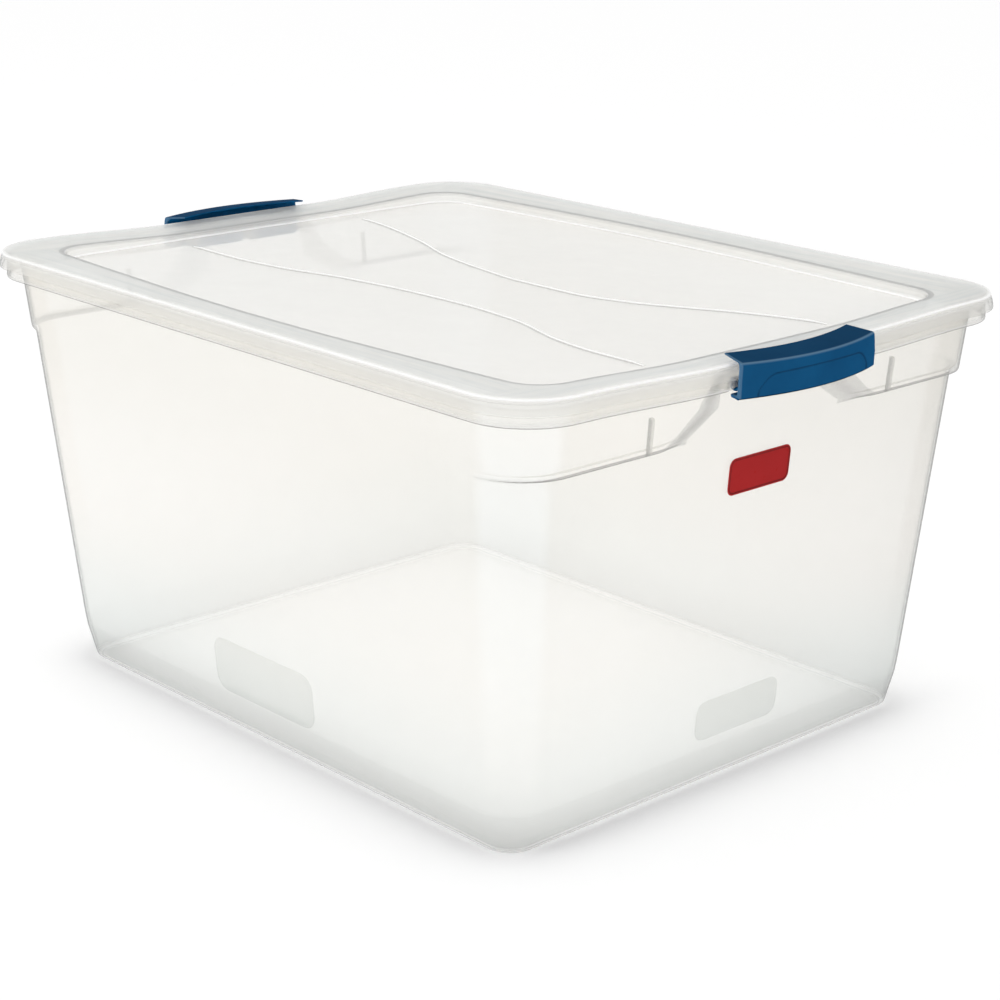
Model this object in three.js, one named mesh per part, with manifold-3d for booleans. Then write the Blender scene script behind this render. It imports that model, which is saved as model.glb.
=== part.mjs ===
// Deep clear storage box with a lift-off lid and a latch on each short end.
// Millimetres, +Z up, origin at the middle of the base. The short ends face +X and -X,
// the long sides +Y and -Y.
import * as THREE from 'three';
import Module from 'manifold-3d';

const { degToRad, lerp, smoothstep } = THREE.MathUtils;
const wasm = await Module();
wasm.setup();

// ---------------------------------------------------------------- shared dimensions
// An outline is a rounded rectangle: half length, half width, corner radius and height.
const CORNER_STEPS = 8;

// Tub wall, from the foot up
const WALL = 2;              // wall thickness
const BASE = 2.4;            // floor thickness
const FOOT = { halfX: 246, halfY: 201, radius: 18, z: 0 };
const FOOT_ROUND = { halfX: 248.8, halfY: 203.8, radius: 20.5, z: 1.1 };
const HEEL = { halfX: 250, halfY: 205, radius: 22, z: 4 };
const KNEE = { halfX: 257.3, halfY: 212, radius: 33, z: 30 };
const NECK = { halfX: 270.55, halfY: 225.15, radius: 39, z: 256 };
const BROW = { halfX: 273.4, halfY: 228, radius: 41, z: 298 };
const LEDGE_Z = 259;         // top of the ledge where the proud band starts
const PROUD = 8;             // how far the band stands out on the short ends

// Tub rim and its down-turned lip
const RIM_Z = 306.2;         // top of the rim
const LIP = { halfX: 290.3, halfY: 234.2, radius: 44 };   // outer face of the lip
const LIP_T = 2.2;
const LIP_Z = 294;           // lower edge of the lip

// Pivot bar, along Y under the rim
const PIN_X = 286.5;
const PIN_Z = 293.5;
const PIN_R = 2.5;

// The rim and lid dip by this much at the middle of each short end
const DIP = 3.2;
const DIP_END = 185;         // |y| where the dip starts
const DIP_RAMP = 118;        // width over which it reaches full depth
const dipAt = (y) => DIP * smoothstep(DIP_END - Math.abs(y), 0, DIP_RAMP);

// ---------------------------------------------------------------- outlines and loops
// Outline at height z on the straight line between two others.
function sectionAt(lower, upper, z) {
  const t = (z - lower.z) / (upper.z - lower.z);
  const between = (key) => lerp(lower[key], upper[key], t);
  return { halfX: between('halfX'), halfY: between('halfY'), radius: between('radius'), z };
}

// Outline moved inwards; a negative distance moves it outwards.
const inset = (outline, distance) => ({
  ...outline,
  halfX: outline.halfX - distance,
  halfY: outline.halfY - distance,
  radius: Math.max(4, outline.radius - distance),
});

// Outline made larger with its corner radius kept.
const widen = (outline, distance) => ({
  ...outline,
  halfX: outline.halfX + distance,
  halfY: outline.halfY + distance,
});

// Quarter turn from +X to +Y; radiusAt gives the radius at each angle.
function cornerArc(centreX, centreY, radiusAt) {
  const points = [];
  for (let i = 0; i <= CORNER_STEPS; i++) {
    const angle = (Math.PI / 2) * (i / CORNER_STEPS);
    const radius = radiusAt(angle);
    points.push([centreX + radius * Math.cos(angle), centreY + radius * Math.sin(angle)]);
  }
  return points;
}

// Mirrors a quarter, which runs from the X axis to the Y axis, into a closed loop.
function loopFromQuarter(quarter, heightAt) {
  const back = quarter.slice(0, -1).reverse();
  const flat = [
    ...quarter,
    ...back.map(([x, y]) => [-x, y]),
    ...quarter.slice(1).map(([x, y]) => [-x, -y]),
    ...back.slice(0, -1).map(([x, y]) => [x, -y]),
  ];
  return flat.map(([x, y]) => [x, y, heightAt(x, y)]);
}

// ---------------------------------------------------------------- solids and meshes
// Manifold solid, with the triangles turned outwards if its volume comes out negative.
function facingOut(positions, triangles) {
  let volume = 0;
  for (let i = 0; i < triangles.length; i += 3) {
    const [a, b, c] = [0, 1, 2].map((k) => {
      const start = triangles[i + k] * 3;
      return positions.slice(start, start + 3);
    });
    volume += a[0] * (b[1] * c[2] - b[2] * c[1])
      - a[1] * (b[0] * c[2] - b[2] * c[0])
      + a[2] * (b[0] * c[1] - b[1] * c[0]);
  }
  if (volume < 0) {
    for (let i = 0; i < triangles.length; i += 3) {
      [triangles[i + 1], triangles[i + 2]] = [triangles[i + 2], triangles[i + 1]];
    }
  }
  return new wasm.Manifold(new wasm.Mesh({
    numProp: 3,
    vertProperties: new Float32Array(positions),
    triVerts: new Uint32Array(triangles),
  }));
}

// Open skin through a list of closed loops with equal point counts.
function skin(loops) {
  const size = loops[0].length;
  const triangles = [];
  for (let row = 0; row < loops.length - 1; row++) {
    for (let i = 0; i < size; i++) {
      const here = row * size + i;
      const next = row * size + ((i + 1) % size);
      triangles.push(here, next, next + size, here, next + size, here + size);
    }
  }
  return { positions: loops.flat(2), triangles, lastRow: (loops.length - 1) * size };
}

// Solid through loops round the Z axis, closed at both ends by a fan from the axis.
function loft(loops, startZ, endZ) {
  const { positions, triangles, lastRow } = skin(loops);
  const size = loops[0].length;
  const start = positions.length / 3;
  const end = start + 1;
  positions.push(0, 0, startZ, 0, 0, endZ);
  for (let i = 0; i < size; i++) {
    const next = (i + 1) % size;
    triangles.push(start, next, i, end, lastRow + i, lastRow + next);
  }
  return facingOut(positions, triangles);
}

// Solid through copies of a section. The cap triangles run the same way round as it does.
function sweep(sections, capTriangles) {
  const { positions, triangles, lastRow } = skin(sections);
  for (const [a, b, c] of capTriangles) {
    triangles.push(a, c, b, lastRow + a, lastRow + b, lastRow + c);
  }
  return facingOut(positions, triangles);
}

// Solid from a three.js geometry, with vertices merged by place and empty triangles dropped.
function solidOf(geometry) {
  const source = geometry.index ? geometry.toNonIndexed() : geometry;
  const points = source.getAttribute('position');
  const seen = new Map();
  const positions = [];
  const corners = [];
  for (let i = 0; i < points.count; i++) {
    const point = [points.getX(i), points.getY(i), points.getZ(i)];
    const key = point.map((value) => Math.round(value * 1e4)).join(',');
    if (!seen.has(key)) {
      seen.set(key, positions.length / 3);
      positions.push(...point);
    }
    corners.push(seen.get(key));
  }
  const triangles = [];
  for (let i = 0; i < corners.length; i += 3) {
    const triangle = corners.slice(i, i + 3);
    if (new Set(triangle).size === 3) triangles.push(...triangle);
  }
  return facingOut(positions, triangles);
}

// [x, z] outline pushed along Y from startY to endY.
function prism(outline, startY, endY) {
  const shape = new THREE.Shape(outline.map(([x, z]) => new THREE.Vector2(x, z)));
  const depth = endY - startY;
  const geometry = new THREE.ExtrudeGeometry(shape, { depth, bevelEnabled: false });
  geometry.rotateX(Math.PI / 2);        // shape y becomes z, depth runs towards -Y
  geometry.translate(0, endY, 0);
  return solidOf(geometry);
}

const turned = (solid) => solid.rotate([0, 0, 180]);
const onBothEnds = (solid) => solid.add(turned(solid));

// Flat-shaded mesh of a solid.
function meshOf(solid, name, { color, roughness }) {
  const data = solid.getMesh();
  const indexed = new THREE.BufferGeometry();
  indexed.setAttribute('position', new THREE.BufferAttribute(data.vertProperties, 3));
  indexed.setIndex(new THREE.BufferAttribute(data.triVerts, 1));
  const geometry = indexed.toNonIndexed();
  geometry.computeVertexNormals();
  const material = new THREE.MeshStandardMaterial({ color, roughness, metalness: 0 });
  const mesh = new THREE.Mesh(geometry, material);
  mesh.name = name;
  return mesh;
}

// ---------------------------------------------------------------- tub
// Finger recess in the proud band: half width at the outer and inner edges of its
// slanted side, by height.
const gapOuter = (z) => 98 - 1.3 * (z - 262.8) + 0.9 * Math.max(0, z - 281);
const gapInner = (z) => Math.max(44.5, 78 - 1.72 * (z - 255.4));

// Five stations on the short end, as distances y from its middle. The first three lie
// in the recess; the other two are on the proud band.
function wallStations(z) {
  const inner = gapInner(z);
  const outer = gapOuter(z);
  return [0, inner * 0.5, inner, outer, lerp(outer, 130, 0.5)];
}
const PLAIN_STATIONS = wallStations(LEDGE_Z);
const BROW_STATIONS = [0, 30, 44, 62, 80];
const BROW_INSIDE_STATIONS = [0, 28, 41, 60, 80];
const RIM_STATIONS = [0, 30, 58, 61, 80];
const BAND_HEIGHTS = [267, 275, 285];      // loops up the proud band
const SIDE_SHIFT = 1.5;                    // recess side, inner face against outer

const LIP_FLARE = 0.9;                     // lower edge of the lip, outer face
const LIP_FLARE_IN = 0.8;                  // the same, inner face
const LIP_NOTCH = { halfY: 60, height: 7.4 };   // notch in the lip's lower edge
const RIM_END_X = LIP.halfX - 60;          // the dip and notch apply beyond this |x|

const bandAt = (z) => sectionAt(NECK, BROW, z);

// One loop round the tub; proud is how far the short-end band stands out.
function tubLoop(outline, stations, proud = 0, heightAt = () => outline.z) {
  const { halfX, halfY, radius } = outline;
  const cornerY = halfY - radius;
  const lastStation = stations[stations.length - 1];
  const endYs = [...stations, lerp(lastStation, cornerY, 0.3), lerp(lastStation, cornerY, 0.62)];
  const quarter = [
    ...endYs.map((y, i) => [halfX + (i < 3 ? 0 : proud), y]),
    ...cornerArc(halfX - radius, cornerY, (angle) => radius + proud * Math.cos(angle) ** 2),
    [(halfX - radius) * 0.5, halfY],
    [0, halfY],
  ];
  return loopFromQuarter(quarter, heightAt);
}

// Outside of the wall, from the foot up.
function tubOutside() {
  const plain = [FOOT, FOOT_ROUND, HEEL, KNEE, NECK, bandAt(LEDGE_Z - 1.5)];
  const band = [LEDGE_Z, ...BAND_HEIGHTS];
  return [
    ...plain.map((outline) => tubLoop(outline, PLAIN_STATIONS)),
    ...band.map((z) => tubLoop(bandAt(z), wallStations(z), PROUD)),
    tubLoop(BROW, BROW_STATIONS, PROUD),
  ];
}

// Under the rim, round the lip and back over the top.
function tubRim() {
  const rimLoop = (outline, z, notch = 0, proud = 0) => {
    const heightAt = (x, y) => {
      if (Math.abs(x) <= RIM_END_X) return z;
      return z - dipAt(y) + (Math.abs(y) < LIP_NOTCH.halfY ? notch : 0);
    };
    return tubLoop(outline, RIM_STATIONS, proud, heightAt);
  };
  const lipInside = inset(LIP, LIP_T);
  return [
    rimLoop(lipInside, RIM_Z - 2.4),
    rimLoop(widen(lipInside, LIP_FLARE_IN), LIP_Z + 0.2, LIP_NOTCH.height),
    rimLoop(inset(LIP, -LIP_FLARE), LIP_Z, LIP_NOTCH.height),
    rimLoop(LIP, RIM_Z - 1.2),
    rimLoop(inset(LIP, 1.2), RIM_Z),
    rimLoop(inset(BROW, -1), RIM_Z, 0, PROUD - 1),
  ];
}

// Inside of the wall, down to the floor.
function tubInside() {
  const inside = (outline) => inset(outline, WALL);
  const bandLoop = (z) => {
    const [middle, half, inner, outer, beyond] = wallStations(z);
    const stations = [middle, half, inner - SIDE_SHIFT, outer - SIDE_SHIFT, beyond];
    return tubLoop(inside(bandAt(z)), stations, PROUD);
  };
  const ledgeTop = LEDGE_Z + 3.2;
  return [
    tubLoop(inside(BROW), BROW_INSIDE_STATIONS, PROUD),
    ...BAND_HEIGHTS.toReversed().map(bandLoop),
    tubLoop(inside(bandAt(ledgeTop)), wallStations(ledgeTop), PROUD),
    tubLoop(inside(bandAt(LEDGE_Z + 1.6)), PLAIN_STATIONS),
    tubLoop(inside(KNEE), PLAIN_STATIONS),
    tubLoop({ ...inside(HEEL), z: BASE + 5 }, PLAIN_STATIONS),
    tubLoop({ ...inset(FOOT, 1.5), z: BASE }, PLAIN_STATIONS),
  ];
}

// Short ribs on the proud band, either side of the recess.
function makeBandRibs() {
  const innerX = 272;
  const bottom = LEDGE_Z + 0.2;
  const top = 282.4;
  const profile = [[innerX, bottom], [281, bottom], [282.6, top], [innerX, top]];
  const rib = prism(profile, 115.6, 118.2);
  return onBothEnds(rib.add(rib.mirror([0, 1, 0])));
}

// Pivot bar for the latch, hung under the rim on three webs.
function makePivotBars() {
  const webPitch = 54;
  const webHalf = 1.5;                     // half thickness
  const webProfile = [
    [271.8, 289.9], [288.2, 289.9], [289.4, 291.2], [289.4, 301.2], [271.8, 301.2],
  ];
  const bar = new THREE.CylinderGeometry(PIN_R, PIN_R, 2 * (webPitch + webHalf), 16);
  bar.translate(PIN_X, 0, PIN_Z);
  let solid = solidOf(bar);
  for (const y of [-webPitch, 0, webPitch]) {
    solid = solid.add(prism(webProfile, y - webHalf, y + webHalf));
  }
  return onBothEnds(solid);
}

function makeTub() {
  const shell = loft([...tubOutside(), ...tubRim(), ...tubInside()], 0, BASE);
  return shell.add(makeBandRibs()).add(makePivotBars());
}

// ---------------------------------------------------------------- lid
const CREASE = { halfX: 293, halfY: 237, radius: 47, z: 312 };
const SKIRT = { halfX: 296, halfY: 239.6, radius: 50, z: 301.5 };
const LID_T = 1.8;
const BAND_Z = 309.4;        // inner edge of the border, which slopes down inwards
const PANEL_Z = 302.8;       // top of the recessed panel
const LID_END_X = 225;       // the dip applies beyond this |x|

// Quarter of the panel's outline, [x, y]: it bows out towards the middle of each side.
const PANEL_END = [
  [262, 0], [261.9, 30], [261.6, 58], [261.3, 74], [261, 92], [260.7, 112], [260.4, 138],
];
const PANEL_CORNER = { x: 234, y: 169, radius: 26 };
const PANEL_SIDE = [[190, 198], [130, 201.5], [65, 204.6], [0, 205.5]];

const dipped = (z) => (x, y) => z - (Math.abs(x) > LID_END_X ? dipAt(y) : 0);

// Loop of the panel's outline moved inwards by a distance.
function panelLoop(distance, heightAt) {
  const { x: centreX, y: centreY, radius } = PANEL_CORNER;
  const quarter = [
    ...PANEL_END.map(([x, y]) => [x - distance, y]),
    ...cornerArc(centreX, centreY, () => radius - distance),
    ...PANEL_SIDE.map(([x, y]) => [x, y - distance]),
  ];
  return loopFromQuarter(quarter, heightAt);
}

// Loop of the border, at the same stations as the panel's.
function borderLoop({ halfX, halfY, radius }, z) {
  const quarter = [
    ...PANEL_END.map(([, y]) => [halfX, y]),
    ...cornerArc(halfX - radius, halfY - radius, () => radius),
    ...PANEL_SIDE.map(([x]) => [x, halfY]),
  ];
  return loopFromQuarter(quarter, dipped(z));
}

function makeLidShell() {
  const seatZ = RIM_Z + 0.46;              // foot of the bead, just above the tub's rim
  const underZ = CREASE.z - LID_T - 0.4;   // underside of the border
  const panelUnderZ = PANEL_Z - LID_T;
  const loops = [
    // upper face, outwards from the panel to the skirt
    panelLoop(2.4, () => PANEL_Z),
    panelLoop(0, dipped(BAND_Z)),
    borderLoop(inset(CREASE, 1.6), CREASE.z),
    borderLoop(widen(CREASE, 0.6), CREASE.z - 2.2),
    borderLoop(SKIRT, SKIRT.z),
    // underside, back inwards
    borderLoop(inset(SKIRT, LID_T), SKIRT.z),
    borderLoop(inset(CREASE, 1.5), CREASE.z - 3.6),
    borderLoop(inset(CREASE, 3.4), underZ),
    // bead under the border
    borderLoop(inset(CREASE, 4.6), underZ),
    borderLoop(inset(CREASE, 4.8), seatZ),
    borderLoop(inset(CREASE, 6.4), seatZ),
    borderLoop(inset(CREASE, 6.6), underZ),
    // underside of the panel
    panelLoop(-1.6, dipped(BAND_Z - LID_T)),
    panelLoop(1, () => panelUnderZ),
  ];
  return loft(loops, PANEL_Z, panelUnderZ);
}

// Centre lines of the two long wavy ribs across the panel, [x, y].
const LID_RIB_LINES = [
  [
    [-231, -88.4], [-178.8, -89.8], [-127.7, -85.2], [-69.4, -71.4], [3.2, -63.3],
    [48.1, -62.2], [103.4, -66.8], [166.7, -84.2], [204.6, -88.3], [245, -88.2],
  ],
  [
    [-236, 81.9], [-210.5, 78.3], [-136.9, 57.9], [-81.7, 36.4], [-24.4, 24.1], [19.5, 18.5],
    [72.7, 19], [115.6, 29.2], [148.3, 44.6], [189.2, 66.1], [232.2, 82.4], [247, 86],
  ],
];
const LID_RIB = { steps: 34, footHalf: 1.5, topShare: 0.6, sunk: 1, height: 1.3 };

function makeLidRib(line) {
  const { steps, footHalf, topShare, sunk, height } = LID_RIB;
  const points = line.map(([x, y]) => new THREE.Vector3(x, y, 0));
  const curve = new THREE.CatmullRomCurve3(points, false, 'catmullrom', 0.5);
  // [offset to the left of the line, height]
  const profile = [
    [footHalf, PANEL_Z - sunk],
    [footHalf * topShare, PANEL_Z + height],
    [-footHalf * topShare, PANEL_Z + height],
    [-footHalf, PANEL_Z - sunk],
  ];
  const sections = [];
  for (let i = 0; i <= steps; i++) {
    const point = curve.getPoint(i / steps);
    const along = curve.getTangent(i / steps);
    sections.push(profile.map(([offset, z]) => (
      [point.x - along.y * offset, point.y + along.x * offset, z]
    )));
  }
  return sweep(sections, [[0, 1, 2], [0, 2, 3]]);
}

function makeLid() {
  const [firstRib, secondRib] = LID_RIB_LINES.map(makeLidRib);
  return makeLidShell().add(firstRib.add(secondRib));
}

// ---------------------------------------------------------------- latch
const LATCH_HALF = 65;       // half width
const LATCH_T = 2.3;
const LATCH_Z = 289.3;       // underside of the hook plate
const BOW = 11.5;            // outward bow of the front plate
const FLANGE_BOW = 10;       // outward bow of the top flange's inner edge
const LATCH_STEPS = 24;
const EYE = { inner: 2.9, outer: 4.8, from: 140, to: 400, steps: 18 };   // radii, degrees

// C section: hook plate below, front plate, flange on top.
// [x at the latch's ends, x added at its middle, z, half width beyond LATCH_HALF]
const LATCH_SECTION = [
  [296.2, 0, LATCH_Z, -0.8],
  [303.4, BOW, LATCH_Z, 0.2],
  [304.8, BOW, 290.6, 0.5],
  [304.4, BOW, 300, 0.2],
  [303.2, BOW, 308.6, -0.2],
  [301.6, BOW, 310.6, -0.8],
  [299.2, BOW, 311.6, -1.6],
  [284.4, FLANGE_BOW, 313.2, -6],
  [284.6, FLANGE_BOW, 313.2 - LATCH_T, -6],
  [297, BOW, 311.6 - LATCH_T - 0.4, -2.4],
  [300.2, BOW, 307.2, -0.6],
  [301.6, BOW, 300, 0.2],
  [302, BOW, LATCH_Z + LATCH_T, 0.3],
  [296.2, 0, LATCH_Z + LATCH_T, -0.8],
];

function makeLatchPlate() {
  const sections = [];
  for (let i = 0; i <= LATCH_STEPS; i++) {
    const across = -1 + (2 * i) / LATCH_STEPS;
    sections.push(LATCH_SECTION.map(([x, bow, z, extra]) => (
      [x + bow * (1 - across * across), across * (LATCH_HALF + extra), z]
    )));
  }
  const flat = LATCH_SECTION.map(([x, , z]) => new THREE.Vector2(x, z));
  return sweep(sections, THREE.ShapeUtils.triangulateShape(flat, []));
}

// Open ring round the pivot bar, as an [x, z] outline.
function eyeOutline() {
  const arc = (radius) => Array.from({ length: EYE.steps + 1 }, (_, i) => {
    const angle = degToRad(lerp(EYE.from, EYE.to, i / EYE.steps));
    return [PIN_X + radius * Math.cos(angle), PIN_Z + radius * Math.sin(angle)];
  });
  return [...arc(EYE.outer), ...arc(EYE.inner).reverse()];
}

function makeLatch() {
  const eye = eyeOutline();
  const armTop = LATCH_Z + LATCH_T;
  const arm = [[289.7, LATCH_Z], [297.5, LATCH_Z], [297.5, armTop], [289.7, armTop]];
  let latch = makeLatchPlate();
  // one hook either side of the bar's middle web
  for (const [startY, endY] of [[-49.5, -5], [5, 49.5]]) {
    latch = latch.add(prism(eye, startY, endY)).add(prism(arm, startY, endY));
  }
  return latch;
}

// ---------------------------------------------------------------- badge
// gap is the clearance between the badge and the wall.
const BADGE = { width: 60.5, height: 25, radius: 5.5, thickness: 0.6, z: 225.5, gap: 0.25 };

// Plain plate with rounded corners, lying along the sloping wall of the +X end.
function makeBadge() {
  const { width, height, radius, thickness, z, gap } = BADGE;
  const shape = new THREE.Shape();
  [[1, -1], [1, 1], [-1, 1], [-1, -1]].forEach(([sideX, sideY], i) => {
    const centreX = sideX * (width / 2 - radius);
    const centreY = sideY * (height / 2 - radius);
    shape.absarc(centreX, centreY, radius, (i - 1) * Math.PI / 2, i * Math.PI / 2, false);
  });
  const geometry = new THREE.ExtrudeGeometry(shape, {
    depth: thickness,
    bevelEnabled: false,
    curveSegments: 8,
  });
  const slope = Math.atan2(NECK.halfX - KNEE.halfX, NECK.z - KNEE.z);
  geometry.rotateX(Math.PI / 2);          // stands up, facing -Y
  geometry.rotateZ(Math.PI / 2);          // faces +X
  geometry.rotateY(slope);                // leans with the wall
  geometry.translate(sectionAt(KNEE, NECK, z).halfX + gap / Math.cos(slope), 0, z);
  return solidOf(geometry);
}

// ---------------------------------------------------------------- assembly
const FINISH = {
  tub: { color: 0xe9ebe8, roughness: 0.32 },
  lid: { color: 0xdfe4e3, roughness: 0.34 },
  latch: { color: 0x175a82, roughness: 0.3 },
  badge: { color: 0xb3242a, roughness: 0.35 },
};

const latch = makeLatch();
const box = new THREE.Group();
box.name = 'latching_storage_box';
box.add(
  meshOf(makeTub(), 'tub', FINISH.tub),
  meshOf(makeLid(), 'lid', FINISH.lid),
  meshOf(latch, 'latch_near', FINISH.latch),
  meshOf(turned(latch), 'latch_far', FINISH.latch),
  meshOf(makeBadge(), 'badge', FINISH.badge),
);

export default box;
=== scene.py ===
import bpy
import math
from mathutils import Matrix, Vector
from mathutils.geometry import tessellate_polygon


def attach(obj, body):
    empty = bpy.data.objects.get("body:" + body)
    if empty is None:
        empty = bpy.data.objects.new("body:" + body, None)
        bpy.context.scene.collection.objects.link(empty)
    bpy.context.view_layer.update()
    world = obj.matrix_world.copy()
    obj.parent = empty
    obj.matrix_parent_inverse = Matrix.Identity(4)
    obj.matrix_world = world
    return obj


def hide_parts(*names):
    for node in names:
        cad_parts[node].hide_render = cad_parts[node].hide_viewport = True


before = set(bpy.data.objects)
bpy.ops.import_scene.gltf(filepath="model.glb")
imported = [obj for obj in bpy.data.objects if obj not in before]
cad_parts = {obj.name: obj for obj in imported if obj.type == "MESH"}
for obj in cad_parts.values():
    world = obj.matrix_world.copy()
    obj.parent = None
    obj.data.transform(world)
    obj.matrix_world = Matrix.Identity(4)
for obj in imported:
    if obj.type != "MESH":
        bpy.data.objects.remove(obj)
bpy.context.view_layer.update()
MM = 0.001
SCN = bpy.context.scene


# ------------------------------------------------------------------ small maths
def clamp01(t):
    return min(1.0, max(0.0, t))


def smooth(t):
    t = clamp01(t)
    return t * t * (3 - 2 * t)


def mix(p, q, t):
    return p + (q - p) * t


def ease(t, k=0.16):
    """Straight ramp from 0 to 1 whose two ends are rounded."""
    t = clamp01(t)
    s = 2 * k * (1 - k)
    if t < k:
        return t * t / s
    if t > 1 - k:
        return 1 - (1 - t) ** 2 / s
    return (t - k / 2) / (1 - k)


def hermite(table):
    """Smooth curve through (input, output) pairs in rising order of input."""
    xs = [p[0] for p in table]
    ys = [p[1] for p in table]
    n = len(xs)
    d = [(ys[i + 1] - ys[i]) / (xs[i + 1] - xs[i]) for i in range(n - 1)]
    m = [d[0]] + [0.0 if d[i - 1] * d[i] <= 0 else 2 * d[i - 1] * d[i] / (d[i - 1] + d[i]) for i in range(1, n - 1)] + [d[-1]]

    def value(x):
        x = min(max(x, xs[0]), xs[-1])
        i = 0
        while i < n - 2 and x > xs[i + 1]:
            i += 1
        h = xs[i + 1] - xs[i]
        t = (x - xs[i]) / h
        return ((2 * t ** 3 - 3 * t ** 2 + 1) * ys[i] + (t ** 3 - 2 * t ** 2 + t) * h * m[i]
                + (3 * t ** 2 - 2 * t ** 3) * ys[i + 1] + (t ** 3 - t ** 2) * h * m[i + 1])
    return value


# ------------------------------------------------------------------ mesh helpers
def make_object(name, verts, faces, attrs=None, sharp=38):
    me = bpy.data.meshes.new(name)
    me.from_pydata([(x * MM, y * MM, z * MM) for x, y, z in verts], [], faces)
    for key, values in (attrs or {}).items():
        a = me.attributes.new(key, "FLOAT", "POINT")
        a.data.foreach_set("value", values)
    me.update()
    ob = bpy.data.objects.new(name, me)
    SCN.collection.objects.link(ob)
    # all faces point outwards: the signed volume of a closed mesh is positive
    vol = 0.0
    for p in me.polygons:
        vs = [me.vertices[i].co for i in p.vertices]
        for k in range(1, len(vs) - 1):
            vol += vs[0].dot(vs[k].cross(vs[k + 1]))
    if vol < 0:
        me.flip_normals()
    me.shade_smooth()
    me.set_sharp_from_angle(angle=math.radians(sharp))
    return ob


class Body:
    """Collects closed shells with per-vertex attributes into one mesh."""

    def __init__(self):
        self.v, self.f = [], []
        self.edge, self.line, self.haze, self.skin, self.rim = [], [], [], [], []

    def shell(self, verts, faces, edge=0.0, line=0.0, haze=0.0, skin=1.0, rim=0.0):
        base = len(self.v)
        vol = 0.0
        for fc in faces:
            a = verts[fc[0]]
            for k in range(1, len(fc) - 1):
                b, c = verts[fc[k]], verts[fc[k + 1]]
                vol += (a[0] * (b[1] * c[2] - b[2] * c[1]) - a[1] * (b[0] * c[2] - b[2] * c[0]) + a[2] * (b[0] * c[1] - b[1] * c[0]))
        if vol < 0:
            faces = [tuple(reversed(fc)) for fc in faces]
        self.v += verts
        self.f += [tuple(base + i for i in fc) for fc in faces]
        n = len(verts)
        self.edge += list(edge) if hasattr(edge, "__len__") else [edge] * n
        self.line += list(line) if hasattr(line, "__len__") else [line] * n
        self.haze += list(haze) if hasattr(haze, "__len__") else [haze] * n
        self.skin += list(skin) if hasattr(skin, "__len__") else [skin] * n
        self.rim += list(rim) if hasattr(rim, "__len__") else [rim] * n

    def build(self, name, sharp=38):
        return make_object(name, self.v, self.f, {"edge": self.edge, "line": self.line, "haze": self.haze, "skin": self.skin, "rim": self.rim}, sharp)


def loft(rows, cap_start=None, cap_end=None):
    """Quads between closed rows of equal length, closed by a fan at each end."""
    n = len(rows[0])
    verts = [p for r in rows for p in r]
    faces = []
    for k in range(len(rows) - 1):
        for i in range(n):
            j = (i + 1) % n
            faces.append((k * n + i, k * n + j, (k + 1) * n + j, (k + 1) * n + i))
    if cap_start is not None:
        c = len(verts)
        verts.append(cap_start)
        faces += [(c, (i + 1) % n, i) for i in range(n)]
    if cap_end is not None:
        c = len(verts)
        verts.append(cap_end)
        o = (len(rows) - 1) * n
        faces += [(c, o + i, o + (i + 1) % n) for i in range(n)]
    return verts, faces


def full_circle(q):
    """A quarter from the +X axis to the +Y axis, mirrored into a closed loop."""
    out = list(q)
    out += [(-x, y, z, *e) for x, y, z, *e in reversed(q[:-1])]
    out += [(-x, -y, z, *e) for x, y, z, *e in q[1:]]
    out += [(x, -y, z, *e) for x, y, z, *e in reversed(q[1:-1])]
    return out


def rounded_rect(w, h, r, n=8):
    pts = []
    for cx, cy, a0 in ((w / 2 - r, h / 2 - r, 0), (-w / 2 + r, h / 2 - r, 90), (-w / 2 + r, -h / 2 + r, 180), (w / 2 - r, -h / 2 + r, 270)):
        for i in range(n + 1):
            t = math.radians(a0 + 90 * i / n)
            pts.append((cx + r * math.cos(t), cy + r * math.sin(t)))
    return pts


def plate(place, w, h, r, profile, n=8):
    """Rounded plate: profile lists (inset, height) from the back rim to the front middle; place maps (u, v, height) to a point."""
    rows = []
    for inset, lift in profile:
        rows.append([place(u, v, lift) for u, v in rounded_rect(w - 2 * inset, h - 2 * inset, max(0.4, r - inset), n)])
    return loft(rows, place(0, 0, profile[0][1]), place(0, 0, profile[-1][1]))


def sweep(points, section, close_ends=True):
    """A closed section carried along a list of (origin, side, up) frames."""
    rows = [[tuple(o[k] + s[k] * a + u[k] * b for k in range(3)) for a, b in section] for o, s, u in points]
    c0 = tuple(sum(p[k] for p in rows[0]) / len(section) for k in range(3))
    c1 = tuple(sum(p[k] for p in rows[-1]) / len(section) for k in range(3))
    return loft(rows, c0, c1)


# ------------------------------------------------------------------ driving dimensions, mm
WALL, BASE = 2.0, 2.4
FOOT = dict(a=246, b=201, r=18, z=0)
HEEL = dict(a=250, b=205, r=22, z=4)
KNEE = dict(a=257.3, b=212, r=33, z=30)
NECK = dict(a=270.55, b=225.15, r=39, z=256)
BROW = dict(a=273.4, b=228, r=41, z=298)
PROUD = 8.0
LEDGE_Z = 259.0
RIM_Z = 306.2
LIP = dict(a=290.3, b=234.2, r=44)
LIP_Z = 294.0
DIP = 3.2
CREASE = dict(a=293, b=237, r=47, z=312)
SKIRT = dict(a=296, b=239.6, r=50, z=301.5)
LID_T = 1.8
BAND_Z = 309.4
PANEL_Z = 302.8
PIN_X, PIN_Z, PIN_R = 286.5, 293.5, 2.5
WALL_SLOPE = (NECK["a"] - KNEE["a"]) / (NECK["z"] - KNEE["z"])


def between(p, q, z):
    t = (z - p["z"]) / (q["z"] - p["z"])
    return dict(a=mix(p["a"], q["a"], t), b=mix(p["b"], q["b"], t), r=mix(p["r"], q["r"], t), z=z)


def inset(s, d):
    return dict(s, a=s["a"] - d, b=s["b"] - d, r=max(4.0, s["r"] - d))


def dip_at(y):
    return smooth((185 - abs(y)) / 118)


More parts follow.
